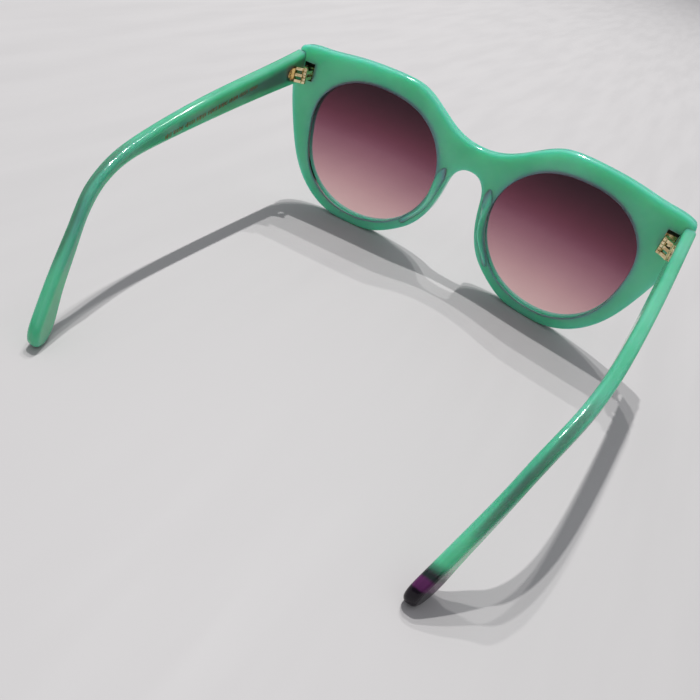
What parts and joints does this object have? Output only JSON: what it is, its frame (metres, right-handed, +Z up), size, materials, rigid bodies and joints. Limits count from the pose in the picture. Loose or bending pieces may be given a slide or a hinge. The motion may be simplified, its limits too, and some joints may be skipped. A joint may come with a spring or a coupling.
{
  "type": "cat eye sunglasses",
  "caption": "Cat eye sunglasses: translucent green acetate front with upswept corners, gradient plum lenses and folding temples on brass pin hinges.",
  "frame": {"origin": "centre of the bounding box on the table that the open sunglasses lie on", "axes": "+X to the wearer's left, +Y from the front to the temple tips, +Z up"},
  "size_m": [0.1402, 0.134, 0.0573],
  "materials": {
    "green_acetate": "polished, slightly translucent",
    "dark_acetate": "polished",
    "tinted_lens": "polished, tint fades from plum at the top to pink at the bottom",
    "gold_brass": "polished gold plate",
    "core_steel": "satin, seen through the acetate"
  },
  "bodies": {
    "front_body": {"front": "green_acetate", "lens_left": "tinted_lens", "lens_right": "tinted_lens", "nose_pad_left": "green_acetate", "nose_pad_right": "green_acetate", "front_hinge_left": "gold_brass", "front_hinge_right": "gold_brass", "hinge_screw_left": "gold_brass", "hinge_screw_right": "gold_brass"},
    "left_temple": {"temple_left": "green_acetate", "temple_hinge_left": "gold_brass", "core_wire_left": "core_steel"},
    "right_temple": {"temple_right": "green_acetate", "temple_hinge_right": "gold_brass", "core_wire_right": "core_steel", "temple_tip_right": "dark_acetate"}
  },
  "joints": [
    {"name": "left_fold", "type": "hinge", "parent": "front_body", "child": "left_temple", "pos_m": [0.0636, -0.0526, 0.0463], "axis": [0, 0, 1], "range_deg": [0, 86]},
    {"name": "right_fold", "type": "hinge", "parent": "front_body", "child": "right_temple", "pos_m": [-0.0636, -0.0526, 0.0463], "axis": [0, 0, -1], "range_deg": [0, 81]}
  ]
}
